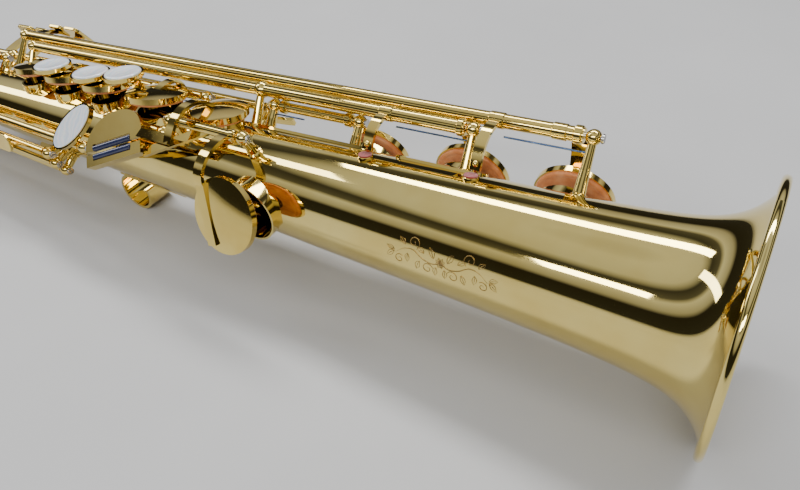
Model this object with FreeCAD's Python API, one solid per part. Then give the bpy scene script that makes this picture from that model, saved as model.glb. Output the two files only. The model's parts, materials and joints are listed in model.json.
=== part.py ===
import FreeCAD, Part
import math
import os
from FreeCAD import Placement, Rotation, Vector

# Soprano saxophone, millimetres.
# It is built in the instrument's own frame: +X down the bore towards the bell, x = 0 at the
# bell's rim, +Z out of the front (the player's far side), +Y to the player's left hand.
# "phi" is the angle round the tube from the front, positive to the player's right, and
# "off" is a height above the conical tube's surface. The last step lays the instrument on its
# back, on the bell's rim, the thumb hook and the strap ring, with +Z up.

# ---- driving dimensions ------------------------------------------------------------------
CONE_RADIUS = 26.16       # outer radius that the straight cone would have at the rim
CONE_SLOPE = 0.0304       # growth of that radius per millimetre of length
BELL_RADIUS = 46.0        # outer radius of the bell's rim
FLARE_NEAR = 6.53         # length over which the lip opens
FLARE_FAR = 26.85         # length over which the throat opens
FLARE_SHARE = 0.2593      # share of the flare that the throat takes
WALL = 0.8
NECK_END = -668.0
BELL_JOIN = -44.0         # seam between the drawn tube and the spun bell
FLARE_START = -110.0
CONE_LENGTHS = 12         # the straight cone is drawn up from this many short lengths
BEAD_RADIUS = 1.5         # rolled rim
LIP = 1.0                 # sheet ends inside the bead, this far short of the rim

CHIMNEY_WALL = 0.8
CHIMNEY_RISE = 2.8        # height of a tone hole's rim above the tube
PAD_GAP = 0.08            # pad over the rim when a key is shut
PAD_DEPTH = 3.0
CUP_LIFT = 1.4            # cup's lower edge above the rim when shut
CUP_SIDE = 2.5
CUP_DOME = 1.1
CUP_SKIN = 0.65

ROD_RADIUS = 1.15
TUBE_BORE = 1.20
TUBE_RADIUS = 2.1
WIDE_TUBE = 2.7           # the two longest hinge tubes
GUIDE_BORE = 2.78
POST_BALL = 2.9
POST_FOOT = 3.0
RIB_WIDTH = 8.0
RIB_LANES = 5
END_GAP = 3.15            # from a post's centre to the end of the hinge tube beside it
ARM = 1.6                 # thickness of key arms
PLATE = 1.6               # thickness of key touches
PEARL_RADIUS = 8.0

HOOK_X = -276.0
HOOK_RADIUS = 9.8
HOOK_WIDTH = 16.0
HOOK_SKIN = 1.4
RING_X = -352.0
RING_RADIUS = 7.0
RING_HOLE = 4.2
RING_WIDTH = 3.0

MOUTHPIECE_LENGTH = 80.0
MOUTHPIECE_TIP = -728.0
CORK_RADIUS = 7.85
CORK_LENGTH = 30.0

# ---- tone holes: name: (x, phi, hole radius) ----------------------------------------------
HOLES = {
    "low_b_flat": (-69.0, -90.0, 12.6),
    "low_b": (-110.5, -90.0, 12.6),
    "low_c_sharp": (-151.0, -80.0, 9.6),
    "low_c": (-182.0, 90.0, 12.2),
    "e_flat": (-213.0, -8.0, 9.0),
    "d": (-247.0, 0.0, 9.8),
    "e": (-280.5, 0.0, 7.9),
    "f": (-308.0, 0.0, 7.4),
    "f_sharp": (-334.0, 0.0, 6.6),
    "g_sharp": (-366.0, -84.0, 5.4),
    "g": (-392.0, 0.0, 6.2),
    "bis": (-418.0, 0.0, 5.2),
    "a": (-442.0, 0.0, 5.0),
    "b": (-464.0, 0.0, 4.4),
    "c": (-486.0, 0.0, 3.8),
    "palm_d": (-508.0, -75.0, 3.8),
    "palm_e_flat": (-525.0, -112.0, 3.6),
    "palm_f": (-560.0, -60.0, 3.4),
    "side_b_flat": (-430.0, 158.0, 4.0),
    "side_c": (-456.0, 146.0, 3.8),
    "high_e": (-543.0, 138.0, 3.4),
    "high_f_sharp": (-578.0, 106.0, 3.2),
}
CUP_MARGIN = 3.2          # cup radius beyond the hole radius, large keys
CUP_MARGIN_SMALL = 2.2    # the same, holes under 7 mm radius
VENTS = {"upper": (-628.0, 180.0), "lower": (-536.0, 214.0)}
VENT_RADIUS = 2.2
VENT_BORE = 0.9

# ---- hinge lines: name: (phi, off) ---------------------------------------------------------
LINES = {
    "b_flat": (-40.0, 20.8),
    "b": (-34.0, 15.5),
    "c_sharp": (-40.0, 10.3),
    "levers": (-58.0, 11.0),
    "low_c": (24.0, 9.5),
    "e_flat": (34.0, 5.6),
    "lower_stack": (-36.0, 7.5),
    "upper_stack": (-40.0, 7.0),
    "g_sharp": (-118.0, 6.2),
    "side_1": (96.0, 8.5),
    "side_2": (111.0, 8.5),
    "side_3": (126.0, 8.5),
    "high_f_sharp": (72.0, 7.5),
}
OPEN = {"low_b_flat": 14.0, "low_b": 11.0, "low_c_sharp": 8.0, "low_c": -20.0}
OPEN_LOWER_STACK = -13.0
OPEN_UPPER_STACK = -11.0


# ---- key touches, posts and levers ---------------------------------------------------------
TABLE_PHI = -66.0         # left little-finger plates
TABLE_OFF = 27.5
PINKY = (-252.5, -6.3, 25.0)  # x, side shift and turn of the right little-finger plates
PINKY_PLANE = (48.0, 10.0)    # phi and off of their common plane
ROLLER_RADIUS = 1.4
ROLLER_LENGTH = 22.6
ROLLER_PIN = 0.6
E_FLAT_ROLLER = 1.75          # distance of each roller from the plates' parting line
LOW_C_ROLLER = -2.05
PEARL_OFF = CHIMNEY_RISE + CUP_LIFT + CUP_SIDE + CUP_DOME + 1.0
GUIDE = (-202.0, "b")      # steadying post half way along the low B tube
LOWER_POSTS = (-232.5, -264.0, -294.5, -321.5, -347.0)
UPPER_POSTS = (-379.5, -405.5, -430.5, -453.5, -475.5, -496.5)
SEATS = {"d": -261.7, "e": -285.0, "f": -313.0, "g": -396.5, "a": -442.0, "b": -464.0}
SEAT_PHI = 8.0
SEAT_LIFT = {"d": 3.2}    # extra height that clears the next cup
PALMS = {
    # name: (hinge x, touch end x, touch off)
    "palm_d": (-489.0, -452.0, 13.5),
    "palm_e_flat": (-507.0, -470.0, 13.5),
    "palm_f": (-541.0, -517.0, 17.0),
}
LEVER_OFF = 7.6
OCTAVE_HINGE = (-482.0, 180.0)
UPPER_HINGE = (-588.0, 180.0)
LOWER_HINGE = (-517.0, 214.0)
OCTAVE_OFF = 6.2
THUMB_TOUCH_X = -504.0
SIDES = {
    # name: (line, downstream post x, touch x)
    "high_e": ("side_1", -306.0, -332.0),
    "side_c": ("side_2", -306.0, -358.0),
    "side_b_flat": ("side_3", -306.0, -384.0),
}
SIDE_TOUCH_PHI = 84.0
SIDE_TOUCH_OFF = 17.0
FSHARP_TOUCH = (-280.3, 54.0, 9.6)
FSHARP_TURN = 48.5
TABLE_DEPTH = 6.6         # flat of the mouthpiece under the axis
REED_THICK = 2.0
BEAK_ANGLE = 25.0
REED_LENGTH = 50.0
LIGATURE_SCREWS = (MOUTHPIECE_TIP + 35.0, MOUTHPIECE_TIP + 45.0)


# ---- geometry of the tube -------------------------------------------------------------------
def cone(x):
    return CONE_RADIUS + CONE_SLOPE * x


def outer(x):
    rise = BELL_RADIUS - CONE_RADIUS
    near = (1 - FLARE_SHARE) * math.exp(x / FLARE_NEAR)
    return cone(x) + rise * (near + FLARE_SHARE * math.exp(x / FLARE_FAR))


def ring(radius, phi):
    angle = math.radians(phi)
    return Vector(0, -radius * math.sin(angle), radius * math.cos(angle))


def spot(x, phi, off):
    return Vector(x, 0, 0) + ring(cone(x) + off, phi)


def along(phi):
    """Unit vector down the surface of the cone at phi."""
    return (Vector(1, 0, 0) + ring(CONE_SLOPE, phi)).normalize()


def out(phi):
    """Unit normal of the cone at phi."""
    return (ring(1.0, phi) + Vector(-CONE_SLOPE, 0, 0)).normalize()


def across(phi):
    return out(phi).cross(along(phi))


def station(x, phi, off):
    """Local frame: X down the surface, Z out of it, Y across towards the player's left."""
    return Placement(spot(x, phi, off), Rotation(along(phi), across(phi), out(phi)))


def put(shape, x, phi, off):
    shape = shape.copy()
    shape.Placement = station(x, phi, off).multiply(shape.Placement)
    return shape


def join(shapes):
    shapes = list(shapes)
    if len(shapes) == 1:
        return shapes[0]
    return shapes[0].multiFuse(shapes[1:]).removeSplitter()


def revolve(points, axis=Vector(0, 0, 1)):
    wire = Part.makePolygon(points + [points[0]])
    return Part.Face(wire).revolve(Vector(0, 0, 0), axis, 360)


def lathe_x(start, end, inset, steps):
    """Solid of revolution about X that follows the horn's outside, inset by a wall."""
    reach = math.pi / 2
    xs = [start + (end - start) * math.sin(reach * i / steps) for i in range(steps + 1)]
    curve = Part.BSplineCurve()
    curve.interpolate([Vector(x, 0, outer(x) - inset) for x in xs])
    edges = [
        curve.toShape(),
        Part.makeLine(Vector(end, 0, outer(end) - inset), Vector(end, 0, 0)),
        Part.makeLine(Vector(end, 0, 0), Vector(start, 0, 0)),
        Part.makeLine(Vector(start, 0, 0), Vector(start, 0, outer(start) - inset)),
    ]
    return Part.Face(Part.Wire(edges)).revolve(Vector(0, 0, 0), Vector(1, 0, 0), 360)


def straight_x(start, end, inset):
    length = end - start
    return Part.makeCone(outer(start) - inset, outer(end) - inset, length,
                         Vector(start, 0, 0), Vector(1, 0, 0))


# ---- parts of a key --------------------------------------------------------------------------
def cup_radius(name):
    hole = HOLES[name][2]
    return hole + (CUP_MARGIN if hole > 7 else CUP_MARGIN_SMALL)


def cup(name):
    """Domed pad cup, hollow below, standing over its shut tone hole."""
    x, phi, _ = HOLES[name]
    r = cup_radius(name)
    low = CUP_LIFT
    side = low + CUP_SIDE
    dome = CUP_DOME if r > 9 else 0.7 * CUP_DOME
    roof = PAD_GAP + PAD_DEPTH + 0.02
    sphere = (r * r + dome * dome) / (2 * dome)
    middle = Vector(r / 2, 0, side + dome - sphere + math.sqrt(sphere ** 2 - r * r / 4))
    edges = [
        Part.makeLine(Vector(r - CUP_SKIN, 0, roof), Vector(r - CUP_SKIN, 0, low)),
        Part.makeLine(Vector(r - CUP_SKIN, 0, low), Vector(r, 0, low)),
        Part.makeLine(Vector(r, 0, low), Vector(r, 0, side)),
        Part.Arc(Vector(r, 0, side), middle, Vector(0, 0, side + dome)).toShape(),
        Part.makeLine(Vector(0, 0, side + dome), Vector(0, 0, roof)),
        Part.makeLine(Vector(0, 0, roof), Vector(r - CUP_SKIN, 0, roof)),
    ]
    shell = Part.Face(Part.Wire(edges)).revolve(Vector(0, 0, 0), Vector(0, 0, 1), 360)
    return put(shell, x, phi, CHIMNEY_RISE)


def cup_edge(name):
    """Angle from a cup's middle to its edge, and an arm's height above the cone there."""
    level = cone(HOLES[name][0]) + crown(name)
    angle = math.degrees(math.atan2(cup_radius(name), level))
    return angle, math.hypot(level, cup_radius(name)) - cone(HOLES[name][0]) + 0.6


def pad(name):
    x, phi, _ = HOLES[name]
    disc = Part.makeCylinder(cup_radius(name) - CUP_SKIN - 0.02, PAD_DEPTH,
                             Vector(0, 0, PAD_GAP))
    disc = disc.makeFillet(0.6, [disc.Edges[2]])
    return put(disc, x, phi, CHIMNEY_RISE)


def crown(name):
    """Height above the cone at which an arm sinks into a cup's roof."""
    return CHIMNEY_RISE + CUP_LIFT + CUP_SIDE + 0.2


def hinge_tube(line, start, end):
    phi, off = LINES[line]
    radius = WIDE_TUBE if line in ("b_flat", "b") else TUBE_RADIUS
    body = Part.makeCylinder(radius, end - start, Vector(0, 0, 0), Vector(1, 0, 0))
    bore = Part.makeCylinder(TUBE_BORE, end - start, Vector(0, 0, 0), Vector(1, 0, 0))
    return put(body.cut(bore), start, phi, off)


def hinge_bore(line, start, end):
    phi, off = LINES[line]
    bore = Part.makeCylinder(TUBE_BORE, end - start, Vector(0, 0, 0), Vector(1, 0, 0))
    return put(bore, start, phi, off)


def ribbon(points, side, width, thick=ARM):
    """Flat bar that follows a smooth curve in the plane at right angles to side."""
    left = []
    right = []
    for i, point in enumerate(points):
        ahead = points[min(i + 1, len(points) - 1)]
        behind = points[max(i - 1, 0)]
        normal = side.cross(ahead - behind).normalize()
        left.append(point + normal * (thick / 2))
        right.append(point - normal * (thick / 2))
    edges = [curve_through(left), Part.makeLine(left[-1], right[-1]),
             curve_through(right[::-1]), Part.makeLine(right[0], left[0])]
    face = Part.Face(Part.Wire(Part.__sortEdges__(edges)))
    face.translate(side * (-width / 2))
    return face.extrude(side * width)


def curve_through(points):
    if len(points) == 2:
        return Part.makeLine(points[0], points[1])
    curve = Part.BSplineCurve()
    curve.interpolate(points)
    return curve.toShape()


def hoop(x, turns, width):
    """Ribbon round the tube at x, through (phi, off) points."""
    return ribbon([spot(x, phi, off) for phi, off in turns], Vector(1, 0, 0), width)


def spine(phi, rises, width):
    """Ribbon down the tube at phi, through (x, off) points."""
    return ribbon([spot(x, phi, off) for x, off in rises], across(phi), width)


def plate(x, phi, off, length, width, corner, thick=PLATE):
    """Key touch: flat plate with round corners in the tangent plane."""
    box = Part.makeBox(length, width, thick, Vector(-length / 2, -width / 2, -thick / 2))
    upright = [e for e in box.Edges if abs(e.Vertexes[0].Z - e.Vertexes[1].Z) > thick / 2]
    box = box.makeFillet(corner, upright)
    rims = [e for e in box.Edges if abs(e.BoundBox.ZMin - e.BoundBox.ZMax) < 0.01]
    return put(box.makeFillet(0.35, rims), x, phi, off)


def oval(x, phi, off, length, width, thick, turn):
    disc = Part.makeCylinder(width / 2, thick, Vector(0, 0, 0))
    stretch = FreeCAD.Matrix()
    stretch.scale(length / width, 1, 1)
    disc = disc.transformGeometry(stretch)
    disc.rotate(Vector(0, 0, 0), Vector(0, 0, 1), turn)
    return put(disc, x, phi, off)


def strap(start, end, rise, width):
    """Flat bar from one point to another, bowed outwards in the middle."""
    middle = (start + end) / 2
    outward = Vector(0, middle.y, middle.z).normalize()
    side = (end - start).cross(outward).normalize()
    return ribbon([start, middle + outward * rise, end], side, width)


def cup_bar(name, start, end, width):
    """Straight rib on a cup's roof between two points of its own plane."""
    x, phi, _ = HOLES[name]
    reach = end - start
    bar = Part.makeBox(reach.Length, width, 2.0, Vector(0, -width / 2, 0))
    bar.rotate(Vector(0, 0, 0), Vector(0, 0, 1), math.degrees(math.atan2(reach.y, reach.x)))
    bar.translate(start + Vector(0, 0, CUP_LIFT + CUP_SIDE - 0.4))
    return put(bar, x, phi, CHIMNEY_RISE)


def pearl_seat(x, phi, off):
    """Round holder with a recess for a pearl, and its short stalk."""
    seat = Part.makeCylinder(PEARL_RADIUS + 0.8, 2.2)
    seat = seat.makeFillet(0.7, [seat.Edges[2]])
    seat = seat.cut(Part.makeCylinder(PEARL_RADIUS + 0.02, 1.5, Vector(0, 0, 1.2)))
    stalk = Part.makeCylinder(2.2, 2.2, Vector(0, 0, -1.9))
    return put(join([seat, stalk]), x, phi, off)


def pearl(x, phi, off):
    disc = Part.makeCylinder(PEARL_RADIUS, 1.6, Vector(0, 0, 1.2))
    disc = disc.makeFillet(0.7, [disc.Edges[0]])
    return put(disc, x, phi, off)


# ---- fixed hardware -----------------------------------------------------------------------------
def post(x, line):
    """Turned pillar with a ball head, drilled for the hinge rod."""
    phi, off = LINES[line]
    stem = off - 0.7 * POST_BALL
    neck = max(1.5, 2.1 - 0.03 * off)
    profile = [
        Vector(0, 0, -3.0),
        Vector(POST_FOOT, 0, -3.0),
        Vector(POST_FOOT, 0, 0.7),
        Vector(2.3, 0, 1.1),
        Vector(neck + 0.35, 0, 0.45 * stem + 0.6),
        Vector(neck, 0, stem),
        Vector(0, 0, stem),
    ]
    pillar = join([revolve(profile), Part.makeSphere(POST_BALL, Vector(0, 0, off))])
    drill = Part.makeCylinder(ROD_RADIUS + 0.01, 12, Vector(-6, 0, off), Vector(1, 0, 0))
    return put(pillar.cut(drill), x, phi, 0.0).cut(BLANK)


def guide_post(x, line):
    """Post with a larger ball that steadies the middle of a long hinge tube."""
    phi, off = LINES[line]
    ball = put(Part.makeSphere(POST_BALL + 0.7, Vector(0, 0, 0)), x, phi, off)
    bore = Part.makeCylinder(GUIDE_BORE, 12, Vector(-6, 0, 0), Vector(1, 0, 0))
    return join([post(x, line), ball]).cut(put(bore, x, phi, off))


def rod(line, start, end):
    phi, off = LINES[line]
    steel = Part.makeCylinder(ROD_RADIUS, end - start, Vector(0, 0, 0), Vector(1, 0, 0))
    return put(steel, start, phi, off)


def saddle(x, phi, off):
    """Two ears that carry a lever's cross pin."""
    ears = []
    for side in (-1, 1):
        ear = Part.makeBox(4.4, 1.2, off + 3.0, Vector(-2.2, side * 3.4 - 0.6, -1.5))
        ear = join([ear, Part.makeCylinder(2.2, 1.2, Vector(0, side * 3.4 - 0.6, off + 0.9),
                                           Vector(0, 1, 0))])
        ears.append(ear)
    foot = Part.makeBox(6.4, 8.0, 3.0, Vector(-3.2, -4.0, -2.2))
    drill = Part.makeCylinder(ROD_RADIUS + 0.01, 12, Vector(0, -6, off), Vector(0, 1, 0))
    return put(join([foot] + ears).cut(drill), x, phi, 0.0).cut(BLANK)


def cross_pin(x, phi, off):
    return put(Part.makeCylinder(ROD_RADIUS, 8.0, Vector(0, -4.0, off), Vector(0, 1, 0)),
               x, phi, 0.0)


def cross_tube(x, phi, off):
    body = Part.makeCylinder(TUBE_RADIUS, 5.2, Vector(0, -2.6, off), Vector(0, 1, 0))
    return put(body, x, phi, 0.0)


def cross_bore(x, phi, off):
    return put(Part.makeCylinder(TUBE_BORE, 8.0, Vector(0, -4.0, off), Vector(0, 1, 0)),
               x, phi, 0.0)


def rib(phi, start, end, width):
    """Flat strip soldered to the tube, with round ends, that carries a row of posts."""
    body = Part.makeBox(end - start, width, 4.0, Vector(start - end, -width / 2, -3.2))
    tips = [Part.makeCylinder(width / 2, 4.0, Vector(x, 0, -3.2)) for x in (start - end, 0)]
    whole = join([body] + tips)
    length, step = end - start + width, width / RIB_LANES
    lanes = []
    for i in range(RIB_LANES):
        corner = Vector(start - end - width / 2, i * step - width / 2, -3.2)
        lane = whole.common(Part.makeBox(length, step, 4.0, corner))
        lanes.append(put(lane, end, phi, 0.0).cut(BLANK))
    return lanes[0].multiFuse(lanes[1:])


# ---- the horn ------------------------------------------------------------------------------------
def horn_body(start, inset):
    step = (FLARE_START - start) / CONE_LENGTHS
    cones = [straight_x(start + i * step, start + (i + 1) * step, inset)
             for i in range(CONE_LENGTHS)]
    return cones[0].multiFuse(cones[1:] + [lathe_x(FLARE_START, 0, inset, 14)])


HORN = horn_body(NECK_END, 0)
BORE = horn_body(NECK_END - 1, WALL)


def chimneys():
    walls = []
    for x, phi, hole in HOLES.values():
        depth = cone(x) * 0.55
        wall = Part.makeCylinder(hole + CHIMNEY_WALL, CHIMNEY_RISE + depth, Vector(0, 0, -depth))
        walls.append(put(wall, x, phi, 0.0))
    for x, phi in VENTS.values():
        walls.append(put(Part.makeCylinder(VENT_RADIUS, 7.0, Vector(0, 0, -4)), x, phi, 0))
    return walls


BLANK = HORN.multiFuse(chimneys())


def body_tube():
    drills = []
    for x, phi, hole in HOLES.values():
        depth = cone(x) * 0.55
        drill = Part.makeCylinder(hole, CHIMNEY_RISE + depth + 2, Vector(0, 0, -depth - 1))
        drills.append(put(drill, x, phi, 0.0))
    for x, phi in VENTS.values():
        drills.append(put(Part.makeCylinder(VENT_BORE, 9.0, Vector(0, 0, -5)), x, phi, 0))
    beyond = Part.makeBox(100, 200, 200, Vector(BELL_JOIN, -100, -100))
    return BLANK.cut(BORE).cut(Part.makeCompound(drills)).cut(beyond)


def bell():
    horn = HORN.cut(BORE)
    before = Part.makeBox(800, 200, 200, Vector(BELL_JOIN - 800, -100, -100))
    lip = Part.makeBox(10, 200, 200, Vector(-LIP, -100, -100))
    return horn.cut(before).cut(lip).cut(bell_rim_ring())


def bell_rim_ring():
    return Part.makeTorus(BELL_RADIUS - BEAD_RADIUS, BEAD_RADIUS,
                          Vector(-BEAD_RADIUS, 0, 0), Vector(1, 0, 0))


# ---- bell keys, on the player's left ------------------------------------------------------------
def far_arm(name, line, shift, width, rise=3.2):
    """Arm from a hinge line out and down over the back of a cup on the left side."""
    x, phi, _ = HOLES[name]
    h_phi, h_off = LINES[line]
    top = crown(name)
    turns = [(h_phi, h_off), (0.6 * h_phi + 0.4 * phi, 0.55 * h_off + 0.45 * top + rise),
             (0.25 * h_phi + 0.75 * phi, top + 2.2), (phi, top)]
    return hoop(x + shift, turns, width)


def stop_arm(x, line, end_phi, end_off, lift):
    """Curved arm that meets a felt on the tube when the key stands open."""
    h_phi, h_off = LINES[line]
    middle = (0.45 * h_phi + 0.55 * end_phi, 0.5 * h_off + 0.5 * end_off + lift)
    return hoop(x, [(h_phi, h_off), middle, (end_phi, end_off)], 4.0)


def low_b_flat_key():
    parts = [hinge_tube("b_flat", -368.0 + END_GAP, -61.5 - END_GAP), cup("low_b_flat"),
             far_arm("low_b_flat", "b_flat", 0.0, 6.0),
             stop_arm(-97.0, "b_flat", -14.0, 6.3, 3.6),
             table_arm(-361.0, "b_flat", (-50, 24.0)), table_plate(-361.0, 11.6)]
    return join(parts).cut(hinge_bore("b_flat", -372, -58))


def low_b_key():
    parts = [hinge_tube("b", -355.0 + END_GAP, -103.0 - END_GAP), cup("low_b"),
             far_arm("low_b", "b", 0.0, 6.0, 1.4),
             stop_arm(-140.0, "b", -8.0, 5.3, 2.8),
             table_arm(-348.4, "b", (-42, 15.5)), table_plate(-348.4, 11.6)]
    return join(parts).cut(hinge_bore("b", -360, -98))


def low_c_sharp_key():
    parts = [hinge_tube("c_sharp", -196.0 + END_GAP, -153.2 - END_GAP), cup("low_c_sharp"),
             far_arm("low_c_sharp", "c_sharp", -9.5, 7.0),
             hoop(-189.5, [(-40, 10.3), (-48, 10.8), (-55, 11.4)], 4.5)]
    return join(parts).cut(hinge_bore("c_sharp", -200, -150))


def table_plate(x, length):
    return plate(x, TABLE_PHI, TABLE_OFF, length, 17.0, 2.5)


def table_arm(x, line, middle):
    return hoop(x, [LINES[line], middle, (TABLE_PHI, TABLE_OFF - 0.4)], 6.0)


def c_sharp_lever():
    parts = [hinge_tube("levers", -386.0 + END_GAP, -205.2 - END_GAP),
             table_arm(-374.0, "levers", (-62, 19.0)), table_plate(-374.0, 11.8),
             hoop(-211.0, [LINES["levers"], (-64, 10.4), (-70, 9.2)], 3.4),
             spine(-70.0, [(-211.0, 9.2), (-203.0, 9.4), (-196.0, 10.2)], 3.4)]
    return join(parts).cut(hinge_bore("levers", -390, -200))


def g_sharp_lever():
    parts = [hinge_tube("levers", -410.0 + END_GAP, -386.2 - END_GAP),
             table_arm(-392.6, "levers", (-62, 19.0)), table_plate(-388.0, 13.2),
             hoop(-393.5, [LINES["levers"], (-68, 10.0), (-78, 8.6)], 3.4),
             spine(-78.0, [(-393.5, 8.6), (-385.0, 8.8), (-378.0, 9.4)], 3.4)]
    return join(parts).cut(hinge_bore("levers", -414, -382))


def g_sharp_key():
    x, phi, _ = HOLES["g_sharp"]
    h_phi, h_off = LINES["g_sharp"]
    top = crown("g_sharp")
    parts = [hinge_tube("g_sharp", -379.0 + END_GAP, -353.0 - END_GAP), cup("g_sharp"),
             hoop(x, [(h_phi, h_off), (-106, top + 0.9), (phi, top)], 4.2)]
    return join(parts).cut(hinge_bore("g_sharp", -384, -348))


# ---- low C and E flat, under the right little finger ---------------------------------------------
def pinky(shape):
    """Places a shape drawn round the two rollers' parting line; X runs along the rollers."""
    x, shift, turn = PINKY
    phi, off = PINKY_PLANE
    local = Placement(Vector(0, shift, 0), Rotation(Vector(0, 0, 1), turn))
    shape = shape.copy()
    shape.Placement = station(x, phi, off).multiply(local).multiply(shape.Placement)
    return shape


def pinky_spot(along_x, across_y, height):
    mark = pinky(Part.Vertex(Vector(along_x, across_y, height)))
    return mark.Vertexes[0].Point


def slab(points, low, high):
    wire = Part.makePolygon(points + [points[0]])
    face = Part.Face(wire)
    face.translate(Vector(0, 0, low))
    return face.extrude(Vector(0, 0, high - low))


def roller_pin(y):
    half = ROLLER_LENGTH / 2 + 2.0
    return Part.makeCylinder(ROLLER_PIN, 2 * half, Vector(-half, y, 0), Vector(1, 0, 0))


def roller(y):
    start = Vector(0.15 - ROLLER_LENGTH / 2, y, 0)
    length = ROLLER_LENGTH - 0.3
    body = Part.makeCylinder(ROLLER_RADIUS, length, start, Vector(1, 0, 0))
    body = body.makeFillet(0.4, [body.Edges[0], body.Edges[2]])
    hole = Part.makeCylinder(ROLLER_PIN + 0.05, length, start, Vector(1, 0, 0))
    return pinky(body.cut(hole))


def e_flat_plate():
    """Fan-shaped plate with a notch along its straight side for the roller."""
    half = ROLLER_LENGTH / 2
    edge = E_FLAT_ROLLER + ROLLER_RADIUS + 0.35
    top = curve_through([Vector(17.2, 0.6, 0), Vector(18.0, 5.5, 0), Vector(15.9, 10.8, 0),
                         Vector(9.8, 14.4, 0), Vector(2.0, 15.2, 0), Vector(-7.2, 12.8, 0),
                         Vector(-13.6, 7.4, 0), Vector(-15.8, 0.6, 0)])
    corners = [Vector(-15.8, 0.6, 0), Vector(-half, 0.6, 0), Vector(-half, edge, 0),
               Vector(half, edge, 0), Vector(half, 0.6, 0), Vector(17.2, 0.6, 0)]
    face = Part.Face(Part.Wire(Part.__sortEdges__(Part.makePolygon(corners).Edges + [top])))
    face.translate(Vector(0, 0, -PLATE / 2))
    return pinky(join([face.extrude(Vector(0, 0, PLATE)), roller_pin(E_FLAT_ROLLER)]))


def low_c_plate():
    """Narrow plate beside the other roller, folded down along its far edge."""
    half = ROLLER_LENGTH / 2
    edge = LOW_C_ROLLER - ROLLER_RADIUS - 0.35
    flat = slab([Vector(-15.5, -6.2, 0), Vector(-15.5, -0.9, 0), Vector(-half, -0.9, 0),
                 Vector(-half, edge, 0), Vector(half, edge, 0), Vector(half, -0.9, 0),
                 Vector(17.0, -0.9, 0), Vector(17.0, -6.2, 0)], -PLATE / 2, PLATE / 2)
    fold = slab([Vector(-15.5, -6.2, 0), Vector(-15.5, -4.8, 0), Vector(17.0, -4.8, 0),
                 Vector(17.0, -6.2, 0)], -3.6, PLATE / 2)
    return pinky(join([flat, fold, roller_pin(LOW_C_ROLLER)]))


def low_c_key():
    x, phi, _ = HOLES["low_c"]
    h_phi, h_off = LINES["low_c"]
    over = [(h_phi, h_off), (42, h_off + 2.8), (58, 12.6), (71, 8.9)]
    open_parts = [strap(spot(-204.0, h_phi, h_off), pinky_spot(15.5, -5.4, -2.8), 0.2, 3.8),
                  low_c_plate()]
    parts = [turned(part, "low_c", -OPEN["low_c"]) for part in open_parts]
    parts += [hinge_tube("low_c", -226.0 + END_GAP, -186.2 - END_GAP), cup("low_c"),
              hoop(-193.5, over, 4.2),
              cup_bar("low_c", Vector(-11.5, 11.5, 0), Vector(-4.0, -13.0, 0), 4.2)]
    return join(parts).cut(hinge_bore("low_c", -230, -182))


def e_flat_key():
    x, phi, _ = HOLES["e_flat"]
    h_phi, h_off = LINES["e_flat"]
    top = crown("e_flat")
    parts = [hinge_tube("e_flat", -265.0 + END_GAP, -230.0 - END_GAP), cup("e_flat"),
             hoop(-217.5, [(45, 13.4), (36, 15.0), (24, 15.8), (8, 13.4), (phi, top)], 4.0),
             spine(42.0, [(-240.0, 9.9), (-229.0, 12.0), (-217.0, 13.8)], 4.0),
             hoop(-250.0, [(h_phi, h_off), (38, 7.9), (42, 10.0)], 5.0),
             e_flat_plate()]
    return join(parts).cut(hinge_bore("e_flat", -268, -226))


# ---- key stacks ------------------------------------------------------------------------------------
def stack_key(name, line, seat=None):
    """Hinge tube, cup and arm of a finger key; seat is the pearl's x, if it has one."""
    x, phi, _ = HOLES[name]
    h_phi, h_off = LINES[line]
    start, end = STACK_TUBES[name]
    top = crown(name)
    angle, edge = cup_edge(name)
    parts = [hinge_tube(line, start, end), cup(name),
             hoop(x, [(h_phi, h_off), (-angle, edge), (phi, top)], 4.0)]
    if seat is not None:
        height = seat_off(name)
        parts.append(pearl_seat(seat, SEAT_PHI, height))
        parts.append(spine(0.5 * SEAT_PHI, [(x, top + 0.1), (0.5 * (x + seat), top + 1.0),
                                            (seat, height - 0.6)], 4.4))
    return join(parts).cut(hinge_bore(line, start - 1, end + 1))


def seat_off(name):
    return PEARL_OFF + SEAT_LIFT.get(name, 0.0)


def stack_tubes():
    spans = {}
    for names, posts in ((("d", "e", "f", "f_sharp"), LOWER_POSTS),
                         (("g", "bis", "a", "b", "c"), UPPER_POSTS)):
        for i, name in enumerate(names):
            spans[name] = (posts[i + 1] + END_GAP, posts[i] - END_GAP)
    return spans


STACK_TUBES = stack_tubes()
# ---- palm keys and octave keys: levers that rock in the plane of the bore ----------------------------
def palm_key(name):
    x, phi, _ = HOLES[name]
    hinge_x, touch_x, touch_off = PALMS[name]
    top = crown(name)
    rises = [(x, top), (x + 7.0, top + 1.6), (hinge_x, LEVER_OFF + 1.0),
             (0.55 * hinge_x + 0.45 * touch_x, 0.5 * touch_off + 5.0),
             (touch_x - 4.0, touch_off)]
    parts = [cross_tube(hinge_x, phi, LEVER_OFF), cup(name), spine(phi, rises, 4.4),
             plate(touch_x, phi, touch_off, 20.0, 9.0, 4.0)]
    return join(parts).cut(cross_bore(hinge_x, phi, LEVER_OFF))


def vent_cup(name):
    x, phi = VENTS[name]
    return put(Part.makeCylinder(3.6, 3.0, Vector(0, 0, 3.0 + PAD_GAP)), x, phi, 0.0)


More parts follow.
